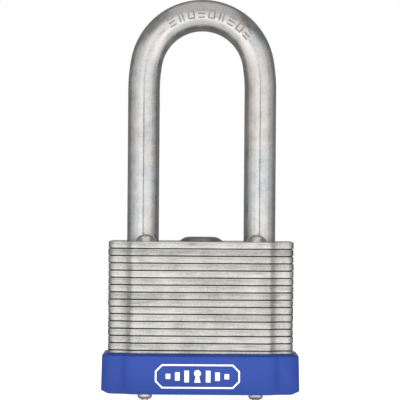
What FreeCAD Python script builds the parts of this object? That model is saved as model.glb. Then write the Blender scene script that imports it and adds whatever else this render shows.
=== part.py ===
import FreeCAD, Part
import math
import os
import Sketcher

V = FreeCAD.Vector
doc = FreeCAD.newDocument("padlock")
sheet = doc.addObject("Spreadsheet::Sheet", "sizes")

# Sizes in millimetres
SIZES = {
    # laminated case
    "plate_thickness": 1.8,
    "case_width": 46.0,
    "case_depth": 27.0,
    "lobe_depth": 23.0,
    "step_inset": 6.0,
    "corner_round": 2.2,
    "crest_round": 1.6,
    "valley_round": 3.2,
    "plate_edge_round": 0.2,
    # bumper round the foot of the case
    "foot_height": 2.0,
    "bumper_floor": 1.8,
    "bumper_wall": 1.7,
    "bumper_height": 10.2,
    "bumper_round": 0.85,
    "bumper_gap": 0.1,
    # shackle
    "shackle_diameter": 8.0,
    "side_margin": 8.35,
    "shackle_rise": 60.8,
    "arch_extra": 4.1,
    "arch_tightness": 0.4,
    "leg_clearance": 0.1,
    "toe_lip": 2.5,
    "notch_depth": 1.8,
    "neck_diameter": 4.4,
    "clip_thickness": 1.0,
    # rivets and top cap
    "rivet_diameter": 3.0,
    "rivet_inset": 9.2,
    "rivet_offset": 7.8,
    "rivet_head": 5.3,
    "rivet_head_height": 1.8,
    "rivet_tail": 3.6,
    "rivet_nub": 1.6,
    "rivet_nub_height": 0.6,
    "cap_base": 11.2,
    "cap_crown": 8.0,
    "cap_rise": 1.1,
    "cap_flange": 13.0,
    # cylinder, plug and pins
    "barrel_diameter": 13.6,
    "bible_width": 6.0,
    "bible_reach": 12.0,
    "plug_diameter": 10.6,
    "plug_face": 12.0,
    "plug_proud": 1.2,
    "running_gap": 0.05,
    "chamber_wall": 0.6,
    "driver_length": 3.4,
    "cam_throw": 2.0,
    "cam_post": 1.6,
    # latches
    "latch_width": 8.8,
    "latch_tip": 6.4,
    "latch_draw": 0.4,
    "wire_light": 0.25,
    "wire_middle": 0.4,
    "wire_heavy": 0.7,
}
for row, (name, number) in enumerate(SIZES.items(), 1):
    sheet.set(f"A{row}", name)
    sheet.set(f"B{row}", str(number))
    sheet.setAlias(f"B{row}", name)
doc.recompute()

PLATES = 20
KEY_PINS = [3.1, 4.3, 3.7, 4.7, 3.4]
PIN_FLOOR = -0.5

# Heights and positions that several pieces share
LEG = "(sizes.case_width/2 - sizes.side_margin)"
LEG_RADIUS = "sizes.shackle_diameter/2"
HOLE_RADIUS = f"({LEG_RADIUS} + sizes.leg_clearance)"
RIVET_X = "(sizes.case_width/2 - sizes.rivet_inset)"
TOE_DEPTH = "(5*sizes.plate_thickness + 0.1 + sizes.toe_lip)"
LIFT = f"({TOE_DEPTH} + 0.4)"
SLOPE_REACH = "(sizes.case_width/2 - sizes.step_inset + sizes.case_depth/2)/sqrt(2)"


def level(plate):
    return f"(sizes.foot_height + sizes.bumper_floor + {plate}*sizes.plate_thickness)"


def number(expression):
    return float(sheet.evalExpression(expression))


def new_body(label, x="0", y="0", z="0", turn=FreeCAD.Rotation()):
    body = doc.addObject("PartDesign::Body", label)
    body.Label = label
    body.Placement = FreeCAD.Placement(V(number(x), number(y), number(z)), turn)
    for axis, expression in zip("xyz", (x, y, z)):
        body.setExpression(f".Placement.Base.{axis}", expression)
    return body


def origin_plane(body, role):
    return next(o for o in body.Origin.OriginFeatures if o.Role == role)


def new_sketch(body, name, role="XY_Plane", offset="0"):
    sketch = body.newObject("Sketcher::SketchObject", f"{body.Label}_{name}")
    sketch.AttachmentSupport = [(origin_plane(body, role), "")]
    sketch.MapMode = "FlatFace"
    sketch.setExpression(".AttachmentOffset.Base.z", offset)
    return sketch


def bind(sketch, kind, *where, to):
    index = sketch.addConstraint(Sketcher.Constraint(kind, *where, number(to)))
    sketch.setExpression(f"Constraints[{index}]", to)


def pin_point(sketch, edge, end, x, y):
    for kind, axis, expression in (("DistanceX", -2, x), ("DistanceY", -1, y)):
        if expression == "0":
            sketch.addConstraint(Sketcher.Constraint("PointOnObject", edge, end, axis))
        else:
            bind(sketch, kind, -1, 1, edge, end, to=expression)


def add_circle(sketch, x, y, radius):
    centre = V(number(x), number(y), 0)
    edge = sketch.addGeometry(Part.Circle(centre, V(0, 0, 1), number(radius)))
    if x == "0" and y == "0":
        sketch.addConstraint(Sketcher.Constraint("Coincident", edge, 3, -1, 1))
    else:
        pin_point(sketch, edge, 3, x, y)
    bind(sketch, "Radius", edge, to=radius)


def add_polygon(sketch, corners):
    first, count = sketch.GeometryCount, len(corners)
    spots = [V(number(x), number(y), 0) for x, y in corners]
    for i in range(count):
        sketch.addGeometry(Part.LineSegment(spots[i], spots[(i + 1) % count]))
    for i in range(count):
        joined = (first + i, 2, first + (i + 1) % count, 1)
        sketch.addConstraint(Sketcher.Constraint("Coincident", *joined))
        pin_point(sketch, first + i, 1, *corners[i])


def add_box(sketch, left, low, right, high):
    add_polygon(sketch, [(left, low), (right, low), (right, high), (left, high)])


def add_outline(sketch, spread):
    """Stepped plan outline of the case, grown outward by spread."""
    side = f"sizes.case_width/2 + {spread}"
    front = f"sizes.case_depth/2 + {spread}"
    lobe = f"sizes.lobe_depth/2 + {spread}"
    slope = f"{SLOPE_REACH} + {spread}"
    corner = f"sizes.corner_round + {spread}"
    crest = f"sizes.crest_round + {spread}"
    valley = f"sizes.valley_round - {spread}"
    faces = [
        (0, side, corner), (90, lobe, valley), (45, slope, crest), (90, front, crest),
        (135, slope, valley), (90, lobe, corner), (180, side, corner), (270, lobe, valley),
        (225, slope, crest), (270, front, crest), (315, slope, valley), (270, lobe, corner),
    ]
    count = len(faces)
    normal = [V(math.cos(math.radians(a)), math.sin(math.radians(a)), 0) for a, _, _ in faces]
    reach = [number(d) for _, d, _ in faces]
    corners = []
    for i in range(count):
        a, b = normal[i], normal[(i + 1) % count]
        da, db = reach[i], reach[(i + 1) % count]
        cross = a.x * b.y - a.y * b.x
        corners.append(V((da * b.y - db * a.y) / cross, (db * a.x - da * b.x) / cross, 0))
    arcs, starts, ends = [], [None] * count, [None] * count
    for i in range(count):
        a, b, radius = normal[i], normal[(i + 1) % count], number(faces[i][2])
        cross = a.x * b.y - a.y * b.x
        bend = math.asin(max(-1, min(1, cross)))
        back = abs(math.tan(bend / 2)) * radius
        along_a, along_b = V(-a.y, a.x, 0), V(-b.y, b.x, 0)
        inward = -1 if cross > 0 else 1
        ends[i] = corners[i] - along_a * back
        starts[(i + 1) % count] = corners[i] + along_b * back
        centre = ends[i] + a * (inward * radius)
        low, high = (ends[i], starts[(i + 1) % count])
        if cross < 0:
            low, high = high, low
        angle = [math.atan2(p.y - centre.y, p.x - centre.x) for p in (low, high)]
        circle = Part.Circle(centre, V(0, 0, 1), radius)
        arcs.append((Part.ArcOfCircle(circle, *angle), cross > 0))
    for i in range(count):
        sketch.addGeometry(Part.LineSegment(starts[i], ends[i]))
        sketch.addGeometry(arcs[i][0])
    for i in range(count):
        line, arc, following = 2 * i, 2 * i + 1, (2 * i + 2) % (2 * count)
        first, last = (1, 2) if arcs[i][1] else (2, 1)
        sketch.addConstraint(Sketcher.Constraint("Tangent", line, 2, arc, first))
        sketch.addConstraint(Sketcher.Constraint("Tangent", arc, last, following, 1))
        bind(sketch, "Radius", arc, to=faces[i][2])
        bind(sketch, "Distance", -1, 1, line, to=faces[i][1])
        facing = faces[i][0]
        if facing in (0, 180):
            sketch.addConstraint(Sketcher.Constraint("Vertical", line))
        elif facing in (90, 270):
            sketch.addConstraint(Sketcher.Constraint("Horizontal", line))
        else:
            tilt = math.radians(facing + 90)
            sketch.addConstraint(Sketcher.Constraint("Angle", line, math.remainder(tilt, 2 * math.pi)))


def pad(body, sketch, length, downward=False):
    feature = body.newObject("PartDesign::Pad", f"{sketch.Name}_pad")
    feature.Profile = sketch
    feature.Reversed = downward
    feature.setExpression("Length", length)
    return feature


def cut(body, sketch, length=None, forward=False, both=False):
    feature = body.newObject("PartDesign::Pocket", f"{sketch.Name}_cut")
    feature.Profile = sketch
    feature.Reversed = forward
    if both:
        feature.SideType = "Symmetric"
    if length is None:
        feature.Type = "ThroughAll"
    else:
        feature.setExpression("Length", length)
    return feature


def revolve(body, sketch):
    feature = body.newObject("PartDesign::Revolution", f"{sketch.Name}_turned")
    feature.Profile = sketch
    feature.ReferenceAxis = (sketch, ["V_Axis"])
    feature.Angle = 360
    return feature


def round_edges(body, base, test, radius, kind="PartDesign::Fillet"):
    doc.recompute()
    names = [f"Edge{i}" for i, e in enumerate(base.Shape.Edges, 1) if test(e)]
    feature = body.newObject(kind, f"{body.Label}_edges_{len(body.Group)}")
    feature.Base = (base, names)
    feature.setExpression("Radius" if kind.endswith("Fillet") else "Size", radius)
    return feature


def at_height(*heights):
    def test(edge):
        box = edge.BoundBox
        return box.ZLength < 1e-6 and any(abs(box.ZMin - z) < 1e-6 for z in heights)
    return test


def ring_at(z, radius):
    def test(edge):
        curve = edge.Curve
        round_edge = isinstance(curve, Part.Circle) and abs(curve.Radius - radius) < 1e-6
        return round_edge and abs(curve.Center.z - z) < 1e-6
    return test


def turned_piece(label, corners, **place):
    body = new_body(label, **place)
    sketch = new_sketch(body, "profile", "XZ_Plane")
    add_polygon(sketch, corners)
    return body, revolve(body, sketch)


def coil(label, outer, wire, length, turns, **place):
    body = new_body(label, **place)
    sketch = new_sketch(body, "wire", "XZ_Plane")
    add_circle(sketch, f"({outer} - {wire})/2", f"{wire}/2", f"{wire}/2")
    feature = body.newObject("PartDesign::AdditiveHelix", f"{label}_coil")
    feature.Profile = sketch
    feature.ReferenceAxis = (sketch, ["V_Axis"])
    feature.Mode = 2
    feature.Turns = turns
    feature.setExpression("Height", f"{length} - {wire}")
    return body


# Laminated plates, from the bottom of the case to the top
def make_plate(index):
    body = new_body(f"plate_{index + 1:02d}", z=level(index))
    blank = new_sketch(body, "outline")
    add_outline(blank, "0")
    slab = pad(body, blank, "sizes.plate_thickness")
    round_edges(body, slab, at_height(0, number("sizes.plate_thickness")), "sizes.plate_edge_round")
    holes = new_sketch(body, "holes")
    for sx in ("", "-"):
        for sy in ("", "-"):
            add_circle(holes, f"{sx}{RIVET_X}", f"{sy}sizes.rivet_offset",
                       "sizes.rivet_diameter/2 + sizes.running_gap")
    if index == 0:
        add_circle(holes, "0", "0", "sizes.plug_face/2 + 0.1")
    elif index <= 12:
        add_circle(holes, "0", "0", "sizes.barrel_diameter/2 + 0.1")
        heel = HOLE_RADIUS if index < 12 else "sizes.neck_diameter/2 + 0.1"
        add_circle(holes, f"-{LEG}", "0", heel)
    else:
        add_circle(holes, f"-{LEG}", "0", HOLE_RADIUS)
        add_circle(holes, LEG, "0", HOLE_RADIUS)
    if index in (13, 14):
        add_circle(holes, "0", "0", "sizes.plug_face/2")
    elif index == 18:
        add_circle(holes, "0", "0", "sizes.cap_flange/2 + 0.1")
    elif index == 19:
        add_circle(holes, "0", "0", "sizes.cap_base/2 + 0.1")
    cut(body, holes, forward=True)
    if 1 <= index <= 12:
        slot = new_sketch(body, "bible_slot")
        add_box(slot, "-(sizes.bible_width/2 + 0.1)", "0",
                "sizes.bible_width/2 + 0.1", "sizes.bible_reach + 0.1")
        cut(body, slot, forward=True)
    elif 15 <= index <= 17:
        wide, tip = "(sizes.latch_width/2 + 0.15)", "(sizes.latch_tip/2 + 0.1)"
        block, reach = f"({LEG} - 3.3)", f"({LEG} - 2.2)"
        slot = new_sketch(body, "latch_slot")
        add_polygon(slot, [
            (f"-{block}", f"-{wide}"), (block, f"-{wide}"), (block, f"-{tip}"),
            (reach, f"-{tip}"), (reach, tip), (block, tip), (block, wide),
            (f"-{block}", wide), (f"-{block}", tip), (f"-{reach}", tip),
            (f"-{reach}", f"-{tip}"), (f"-{block}", f"-{tip}"),
        ])
        cut(body, slot, forward=True)
    return body


parts = [make_plate(index) for index in range(PLATES)]

# Bumper moulded round the foot of the case
bumper = new_body("bumper", z="sizes.foot_height")
skin = new_sketch(bumper, "skin")
add_outline(skin, "sizes.bumper_wall")
block = pad(bumper, skin, "sizes.bumper_height")
round_edges(bumper, block, at_height(0, number("sizes.bumper_height")), "sizes.bumper_round")
well = new_sketch(bumper, "well", offset="sizes.bumper_floor")
add_outline(well, "sizes.bumper_gap")
cut(bumper, well, forward=True)
openings = new_sketch(bumper, "openings")
add_circle(openings, "0", "0", "sizes.plug_face/2 + 0.5")
for sx in ("", "-"):
    for sy in ("", "-"):
        add_circle(openings, f"{sx}{RIVET_X}", f"{sy}sizes.rivet_offset", "sizes.rivet_tail/2 + 0.15")
cut(bumper, openings, forward=True)
parts.append(bumper)

# Rivets through the whole stack, domed above and upset below
for side, sx in (("left", "-"), ("right", "")):
    for face, sy in (("front", "-"), ("back", "")):
        shank, tail = "sizes.rivet_diameter/2", "sizes.rivet_tail/2"
        rivet, turned = turned_piece(f"rivet_{face}_{side}", [
            ("0", "0"), ("sizes.rivet_nub/2", "0"), ("sizes.rivet_nub/2", "sizes.rivet_nub_height"),
            (tail, "sizes.rivet_nub_height"), (tail, level(0)), (shank, level(0)),
            (shank, level(PLATES)), ("sizes.rivet_head/2", level(PLATES)),
            ("sizes.rivet_head/2", f"{level(PLATES)} + sizes.rivet_head_height"),
            ("0", f"{level(PLATES)} + sizes.rivet_head_height"),
        ], x=f"{sx}{RIVET_X}", y=f"{sy}sizes.rivet_offset")
        top = number(f"{level(PLATES)} + sizes.rivet_head_height")
        dome = round_edges(rivet, turned, ring_at(top, number("sizes.rivet_head/2")),
                           "sizes.rivet_head_height - 0.15")
        ring = ring_at(number("sizes.rivet_nub_height"), number(tail))
        upset = round_edges(rivet, dome, ring, "0.45*sizes.rivet_tail/2")
        round_edges(rivet, upset, ring_at(0, number("sizes.rivet_nub/2")), "0.3")
        parts.append(rivet)

# Domed cap held under the top plate
cap, cap_turned = turned_piece("top_cap", [
    ("0", "0.1"), ("sizes.cap_flange/2", "0.1"), ("sizes.cap_flange/2", "sizes.plate_thickness - 0.1"),
    ("sizes.cap_base/2", "sizes.plate_thickness - 0.1"), ("sizes.cap_base/2", "2*sizes.plate_thickness"),
    ("sizes.cap_crown/2", "2*sizes.plate_thickness + sizes.cap_rise"),
    ("0", "2*sizes.plate_thickness + sizes.cap_rise"),
], z=level(18))
crown = number("2*sizes.plate_thickness + sizes.cap_rise")
round_edges(cap, cap_turned, ring_at(crown, number("sizes.cap_crown/2")), "0.6")
parts.append(cap)

# Pin-tumbler cylinder: housing with its pin stack chambers toward the back
housing_length = "(12*sizes.plate_thickness - 0.1)"
barrel = "sizes.barrel_diameter/2"
bore = "(sizes.plug_diameter/2 + sizes.running_gap)"
pin_pitch = "(2*sizes.plate_thickness)"
pin_bore = f"(({pin_pitch} - sizes.chamber_wall)/2)"
pin_radius = f"({pin_bore} - sizes.running_gap)"
chamber_top = "(sizes.bible_reach - 0.7)"
housing = new_body("cylinder_housing", z=f"{level(1)} + 0.05")
ring = new_sketch(housing, "barrel")
add_circle(ring, "0", "0", barrel)
pad(housing, ring, housing_length)
bible = new_sketch(housing, "bible")
add_box(bible, "-sizes.bible_width/2", "0", "sizes.bible_width/2", "sizes.bible_reach")
pad(housing, bible, housing_length)
plug_bore = new_sketch(housing, "bore")
add_circle(plug_bore, "0", "0", bore)
cut(housing, plug_bore, forward=True)
chambers = new_sketch(housing, "chambers", "XZ_Plane")
pin_heights = [f"({i}*{pin_pitch} - 0.3)" for i in range(1, len(KEY_PINS) + 1)]
for height in pin_heights:
    add_circle(chambers, "0", height, pin_bore)
cut(housing, chambers, chamber_top)
groove = new_sketch(housing, "cap_groove", offset="1.0")
add_box(groove, "-2.2", chamber_top, "2.2", "sizes.bible_reach + 1")
cut(housing, groove, forward=True)
parts.append(housing)

chamber_cap = new_body("chamber_cap", z=f"{level(1)} + 1.1")
strip = new_sketch(chamber_cap, "strip")
add_box(strip, "-2.15", f"{chamber_top} + 0.02", "2.15", "sizes.bible_reach")
pad(chamber_cap, strip, "12*sizes.plate_thickness - 1.2")
parts.append(chamber_cap)

# Plug with face flange, keyway, chambers, clip groove and drive slot
plug_foot = f"({level(0)} - sizes.plug_proud)"
face = "sizes.plug_face/2"
plug_radius = "sizes.plug_diameter/2"
flange_top = f"({level(1)} - {plug_foot} - 0.1)"
seat = f"({level(13)} - {plug_foot} + 0.1)"
plug_end = f"({level(13)} - {plug_foot} + 1.0)"
plug, plug_turned = turned_piece("plug", [
    ("0", "0"), (f"{face} - 0.4", "0"), (face, "0.4"), (face, flange_top),
    (plug_radius, flange_top), (plug_radius, seat), ("0.88*sizes.plug_diameter/2", seat),
    ("0.88*sizes.plug_diameter/2", f"{seat} + 0.7"), (plug_radius, f"{seat} + 0.7"),
    (plug_radius, plug_end), ("0", plug_end),
], z=plug_foot)
keyway = new_sketch(plug, "keyway")
KEYWAY = [
    (0.085, 0.32), (-0.085, 0.32), (-0.085, -0.085), (-0.02, -0.12), (-0.02, -0.2),
    (-0.085, -0.235), (-0.085, -0.395), (0.085, -0.395), (0.085, -0.27), (0.15, -0.235),
    (0.15, -0.16), (0.085, -0.12),
]
add_polygon(keyway, [(f"{x}*sizes.plug_diameter", f"{y}*sizes.plug_diameter") for x, y in KEYWAY])
cut(plug, keyway, f"{level(12)} - {plug_foot} - 0.8", forward=True)
plug_chambers = new_sketch(plug, "chambers", "XZ_Plane", offset=f"{-PIN_FLOOR}")
plug_rise = f"({level(1)} + 0.05 - {plug_foot})"
for height in pin_heights:
    add_circle(plug_chambers, "0", f"{plug_rise} + {height}", pin_bore)
cut(plug, plug_chambers, "sizes.plug_diameter")
drive = new_sketch(plug, "drive_slot", offset=plug_end)
add_box(drive, "-sizes.plug_diameter", "-1.05", "sizes.plug_diameter", "1.05")
cut(plug, drive, "1.6")
parts.append(plug)


def ring_clip(label, inner, outer, thickness, gap, **place):
    body = new_body(label, **place)
    ring = new_sketch(body, "ring")
    add_circle(ring, "0", "0", outer)
    add_circle(ring, "0", "0", inner)
    pad(body, ring, thickness)
    mouth = new_sketch(body, "mouth")
    add_box(mouth, f"-{gap}/2", "0", f"{gap}/2", f"-({outer} + 1)")
    cut(body, mouth, forward=True)
    return body


parts.append(ring_clip("plug_clip", "0.88*sizes.plug_diameter/2 + 0.02", "(sizes.plug_face/2 - 0.15)",
                       "0.6", "3.0", z=f"{level(13)} + 0.15"))

# Cam that draws the latches together as the plug turns
cam = new_body("cam", z=f"{level(13)} + 1.1")
disc = new_sketch(cam, "disc")
add_circle(disc, "0", "0", plug_radius)
pad(cam, disc, "2*sizes.plate_thickness - 1.3")
tongue = new_sketch(cam, "tongue")
add_box(tongue, "-0.36*sizes.plug_diameter", "-1.0", "0.36*sizes.plug_diameter", "1.0")
pad(cam, tongue, "1.45", downward=True)
posts = new_sketch(cam, "posts", offset="2*sizes.plate_thickness - 1.3")
across, along = "sizes.cam_throw*sin(30)", "sizes.cam_throw*cos(30)"
add_circle(posts, f"-{across}", along, "sizes.cam_post/2")
add_circle(posts, across, f"-{along}", "sizes.cam_post/2")
pad(cam, posts, "sizes.plate_thickness + 1.2")
parts.append(cam)


# Pair of sliding latches, one the half-turn of the other
def make_latch(label, turn):
    body = new_body(label, z=f"{level(15)} + 0.2", turn=FreeCAD.Rotation(V(0, 0, 1), turn))
    wide, tip = "sizes.latch_width/2", "sizes.latch_tip/2"
    end = f"({LEG} - {LEG_RADIUS} - sizes.latch_draw)"
    shoulder = f"({end} - 1.2)"
    back = f"({end} - 3.4)"
    tongue_end = "-(sizes.cam_throw + 1.0)"
    shape = new_sketch(body, "shape")
    add_polygon(shape, [
        (tongue_end, "0.2"), (back, "0.2"), (back, f"-{wide}"), (shoulder, f"-{wide}"),
        (shoulder, f"-{tip}"), (end, f"-{tip}"), (end, tip), (shoulder, tip),
        (shoulder, wide), (tongue_end, wide),
    ])
    pad(body, shape, "3*sizes.plate_thickness - 0.4")
    slot = new_sketch(body, "cam_slot")
    half = "(sizes.cam_post/2 + 0.1)"
    add_box(slot, f"-({across} + {half})", f"{along} - {half} - 0.05",
            f"-({across} - {half})", f"sizes.cam_throw + {half} + 0.05")
    cut(body, slot, forward=True)
    return body


parts.append(make_latch("latch_right", 0))
parts.append(make_latch("latch_left", 180))
latch_gap = f"({LEG} - {LEG_RADIUS} - sizes.latch_draw - 3.4 - sizes.cam_throw - 1.0)"
middle = f"{level(15)} + 1.5*sizes.plate_thickness"
for face, sy, way in (("front", "-", 1), ("back", "", -1)):
    start = "sizes.cam_throw + 1.05" if way > 0 else "-(sizes.cam_throw + 1.05)"
    parts.append(coil(f"latch_spring_{face}", "3.4", "sizes.wire_middle", f"({latch_gap} - 0.1)", 4,
                      x=start, y=f"{sy}2.4", z=middle,
                      turn=FreeCAD.Rotation(V(0, 1, 0), 90 * way)))

# Pin stacks
for i, length in enumerate(KEY_PINS):
    height = f"{level(1)} + 0.05 + {pin_heights[i]}"
    outward = FreeCAD.Rotation(V(1, 0, 0), -90)
    radius = pin_radius
    top = f"({plug_radius} - 0.08)"
    key_pin, _ = turned_piece(f"key_pin_{i + 1}", [
        ("0", "0"), ("0.5", "0"), (radius, "0.6"), (radius, f"{length} - 0.3"),
        ("0.6", str(length)), ("0", str(length)),
    ], y=f"{top} - {length}", z=height, turn=outward)
    driver, _ = turned_piece(f"driver_pin_{i + 1}", [
        ("0", "0"), (f"{radius} - 0.2", "0"), (radius, "0.2"), (radius, "sizes.driver_length - 0.2"),
        (f"{radius} - 0.2", "sizes.driver_length"), ("0", "sizes.driver_length"),
    ], y=f"{plug_radius} + 0.1", z=height, turn=outward)
    spring = coil(f"pin_spring_{i + 1}", f"(2*{pin_radius} - 0.3)", "sizes.wire_light",
                  f"({chamber_top} - {plug_radius} - 0.14 - sizes.driver_length)", 4,
                  y=f"{plug_radius} + 0.13 + sizes.driver_length", z=height, turn=outward)
    parts += [key_pin, driver, spring]

# Shackle, measured from the top of the case
shackle = new_body("shackle", z=level(PLATES))
neck_end = f"(8*sizes.plate_thickness + {LIFT} + sizes.clip_thickness + 1.4)"
arch_height = f"({LEG} + sizes.arch_extra)"
arch_base = f"(sizes.shackle_rise - {LEG_RADIUS} - {arch_height})"
arch_top = f"(sizes.shackle_rise - {LEG_RADIUS})"
crown_radius = f"({LEG} - sizes.arch_tightness)"
path = new_sketch(shackle, "path", "XZ_Plane")
leg, base, r1 = number(LEG), number(arch_base), number(crown_radius)
rise = number(arch_height)
r2 = (leg ** 2 + (rise - r1) ** 2 - r1 ** 2) / (2 * (leg - r1))
crown_centre = V(0, base + rise - r1, 0)
flank_centre = V(leg - r2, base, 0)
swing = math.atan2(crown_centre.y - base, crown_centre.x - flank_centre.x)


def arc(centre, radius, start, end):
    return Part.ArcOfCircle(Part.Circle(centre, V(0, 0, 1), radius), start, end)


path.addGeometry(Part.LineSegment(V(-leg, -number(neck_end), 0), V(-leg, base, 0)))
path.addGeometry(arc(V(r2 - leg, base, 0), r2, math.pi - swing, math.pi))
path.addGeometry(arc(crown_centre, r1, swing, math.pi - swing))
path.addGeometry(arc(flank_centre, r2, 0, swing))
path.addGeometry(Part.LineSegment(V(leg, base, 0), V(leg, -number(TOE_DEPTH), 0)))
for first, end, second, start in ((0, 2, 1, 2), (1, 1, 2, 2), (2, 1, 3, 2), (3, 1, 4, 1)):
    path.addConstraint(Sketcher.Constraint("Tangent", first, end, second, start))
for line in (0, 4):
    path.addConstraint(Sketcher.Constraint("Vertical", line))
pin_point(path, 0, 1, f"-{LEG}", f"-{neck_end}")
pin_point(path, 4, 2, LEG, f"-{TOE_DEPTH}")
bind(path, "DistanceY", -1, 1, 0, 2, to=arch_base)
bind(path, "DistanceY", -1, 1, 4, 1, to=arch_base)
bind(path, "Radius", 2, to=crown_radius)
bind(path, "DistanceY", -1, 1, 2, 3, to=f"{arch_top} - {crown_radius}")
section = new_sketch(shackle, "section", offset=f"-{neck_end}")
add_circle(section, f"-{LEG}", "0", LEG_RADIUS)
rod = shackle.newObject("PartDesign::AdditivePipe", "shackle_rod")
rod.Profile = section
rod.Spine = (path, [])
toe = round_edges(shackle, rod, at_height(-number(TOE_DEPTH)), "0.8")


def ring_cut(name, low, height, inner):
    sketch = new_sketch(shackle, name, offset=low)
    add_circle(sketch, f"-{LEG}", "0", f"{LEG_RADIUS} + 1")
    add_circle(sketch, f"-{LEG}", "0", inner)
    cut(shackle, sketch, height, forward=True)


shoulder_depth = "(7*sizes.plate_thickness - 0.1)"
ring_cut("neck", f"-{neck_end} - 1", f"{neck_end} + 1 - {shoulder_depth}", "sizes.neck_diameter/2")
clip_low = f"(8*sizes.plate_thickness + {LIFT} + sizes.clip_thickness + 0.1)"
ring_cut("clip_groove", f"-{clip_low}", "sizes.clip_thickness", "sizes.neck_diameter/2 - 0.6")
notches = new_sketch(shackle, "notches", "XZ_Plane")
notch_low, notch_high = "-(5*sizes.plate_thickness + 0.1)", "-(2*sizes.plate_thickness - 0.1)"
inner, outer = f"({LEG} - {LEG_RADIUS} - 1)", f"({LEG} - {LEG_RADIUS} + sizes.notch_depth)"
add_box(notches, inner, notch_low, outer, notch_high)
add_box(notches, f"-{outer}", notch_low, f"-{inner}", notch_high)
cut(shackle, notches, both=True)
parts.append(shackle)

clip_z = f"{level(PLATES)} - {clip_low}"
parts.append(ring_clip("shackle_clip", "(sizes.neck_diameter/2 - 0.58)", f"({LEG_RADIUS} - 0.2)",
                       "(sizes.clip_thickness - 0.04)", "2.6", x=f"-{LEG}", z=f"{clip_z} + 0.02"))
parts.append(coil("shackle_spring", "(sizes.shackle_diameter - 0.6)", "sizes.wire_heavy",
                  f"({clip_z} - {level(1)} - 0.1)", 5, x=f"-{LEG}", z=f"{level(1)} + 0.05"))

doc.recompute()
for item in doc.Objects:
    if "Invalid" in item.State or "Error" in item.State:
        raise RuntimeError(f"{item.Label} did not compute: {item.State}")
os.makedirs("parts", exist_ok=True)
for body in parts:
    shape = body.Shape
    if shape.isNull() or not shape.isValid() or len(shape.Solids) != 1:
        raise RuntimeError(f"{body.Label} is not one sound solid")
    shape.exportStep(f"parts/{body.Label}.step")
    box = shape.BoundBox
    print(f"{body.Label}: {shape.Volume:.1f} mm3, z {box.ZMin:.2f} to {box.ZMax:.2f}")
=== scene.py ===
import math
import random
import bpy
import bmesh
from mathutils import Matrix, Vector


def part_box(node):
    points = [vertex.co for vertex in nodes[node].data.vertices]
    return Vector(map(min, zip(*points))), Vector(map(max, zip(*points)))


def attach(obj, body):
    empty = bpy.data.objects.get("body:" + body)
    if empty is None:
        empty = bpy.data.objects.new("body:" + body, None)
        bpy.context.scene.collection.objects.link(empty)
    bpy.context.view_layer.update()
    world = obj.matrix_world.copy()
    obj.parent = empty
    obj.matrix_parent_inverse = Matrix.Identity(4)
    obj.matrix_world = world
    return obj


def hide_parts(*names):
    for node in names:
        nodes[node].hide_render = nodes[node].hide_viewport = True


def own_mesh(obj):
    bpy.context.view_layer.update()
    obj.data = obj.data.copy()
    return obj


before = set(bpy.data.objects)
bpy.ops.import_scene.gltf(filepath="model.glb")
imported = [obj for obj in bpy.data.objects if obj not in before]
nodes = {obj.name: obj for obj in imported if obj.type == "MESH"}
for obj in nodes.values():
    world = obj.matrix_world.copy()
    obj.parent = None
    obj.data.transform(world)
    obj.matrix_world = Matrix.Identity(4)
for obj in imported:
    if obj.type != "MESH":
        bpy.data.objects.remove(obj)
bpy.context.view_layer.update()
mm = 0.001
random.seed(7)
print("frame loaded:", len(nodes), "nodes")

low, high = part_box("plate_01")
caseX, caseY, plateThickness = high[0], high[1], high[2] - low[2]
caseFoot = low[2]
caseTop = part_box("plate_20")[1][2]
rivetX = (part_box("rivet_front_right")[0][0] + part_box("rivet_front_right")[1][0]) / 2
rivetY = (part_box("rivet_back_right")[0][1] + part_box("rivet_back_right")[1][1]) / 2
shackleLow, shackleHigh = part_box("shackle")
rodRadius = 4.0 * mm


def linearColour(hexValue):
    out = []
    for i in (0, 2, 4):
        c = int(hexValue[i:i + 2], 16) / 255
        out.append(c / 12.92 if c <= 0.04045 else ((c + 0.055) / 1.055) ** 2.4)
    return (*out, 1.0)


def addNode(tree, kind, settings=None, links=None):
    node = tree.nodes.new(kind)
    for name, value in (settings or {}).items():
        if isinstance(name, str) and hasattr(node, name):
            setattr(node, name, value)
        else:
            node.inputs[name].default_value = value
    for name, source in (links or {}).items():
        tree.links.new(source, node.inputs[name])
    return node


def newMaterial(name):
    material = bpy.data.materials.new(name)
    material.use_nodes = True
    shader = material.node_tree.nodes["Principled BSDF"]
    return material, material.node_tree, shader


def rampStops(node, stops):
    ramp = node.color_ramp
    while len(ramp.elements) > 1:
        ramp.elements.remove(ramp.elements[-1])
    for i, (place, colour) in enumerate(stops):
        stop = ramp.elements[0] if i == 0 else ramp.elements.new(place)
        stop.position = place
        stop.color = colour


def grey(value):
    return (value, value, value, 1.0)


# in sheetSteel the gap colour, with its share and waver, paints shade at the foot of every sheet
sheetSteel = {"light": "CBCAC6", "dark": "747470", "brushLength": 5.0, "brushWidth": 0.16,
              "roughness": 0.36, "blotch": 6.0, "sheetSpread": 0.22,
              # the rim share and lift paint a highlight along the upper rim of every sheet
              "gap": "2A2A28", "gapShadeShare": 0.085, "gapShadeWaver": 0.05, "rimShare": 0.2, "rimHighlight": 0.6}


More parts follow.
